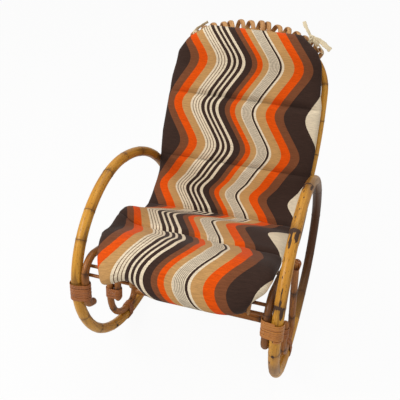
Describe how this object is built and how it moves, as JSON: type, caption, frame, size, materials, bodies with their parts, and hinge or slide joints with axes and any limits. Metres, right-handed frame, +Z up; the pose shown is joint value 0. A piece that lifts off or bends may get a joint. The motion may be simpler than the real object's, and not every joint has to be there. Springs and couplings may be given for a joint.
{
  "type": "rattan rocking chair",
  "caption": "Low rattan rocking chair with bent side hoops as arms and runners, a raked back with a wound rim, and a channelled cushion tied on.",
  "frame": {"origin": "on the floor, midway between the two points where the side hoops touch it", "axes": "+Z up; +Y from the front of the seat to the back; +X across the chair, to the right as seen from the front"},
  "size_m": [0.6216, 0.9329, 0.9435],
  "materials": {
    "cane_honey": "satin",
    "cane_brown": "satin",
    "cane_pale": "satin",
    "binding": "satin",
    "cushion_cloth": "matte woven cotton with wavy stripes",
    "tape": "matte woven cotton"
  },
  "bodies": {
    "root": {"hoop_left": "cane_honey", "u_support_left": "cane_brown", "front_post_left": "cane_brown", "seat_rail_left": "cane_brown", "hoop_right": "cane_honey", "u_support_right": "cane_brown", "front_post_right": "cane_brown", "seat_rail_right": "cane_brown", "back_arch": "cane_honey", "rim_coil": "cane_pale", "front_rod_lower": "cane_brown", "front_rod_upper": "cane_brown", "low_stretcher": "cane_brown", "seat_bar_front": "cane_brown", "seat_bar_rear": "cane_brown", "crease_bar": "cane_brown", "back_bar_low": "cane_brown", "back_bar_mid": "cane_brown", "back_bar_top": "cane_brown", "seat_rod_1": "cane_pale", "seat_rod_2": "cane_pale", "seat_rod_3": "cane_pale", "seat_rod_4": "cane_pale", "seat_rod_5": "cane_pale", "seat_rod_6": "cane_pale", "back_rod_1": "cane_pale", "back_rod_2": "cane_pale", "back_rod_3": "cane_pale", "back_rod_4": "cane_pale", "back_rod_5": "cane_pale", "back_rod_6": "cane_pale", "front_binding_left": "binding", "front_binding_right": "binding", "splice_binding_left": "binding", "splice_binding_right": "binding", "runner_binding_left": "binding", "runner_binding_right": "binding", "leg_binding_left": "binding", "leg_binding_right": "binding", "back_binding_left": "binding", "back_binding_right": "binding", "cushion": "cushion_cloth", "tie_left": "tape", "tie_right": "tape"}
  },
  "joints": []
}
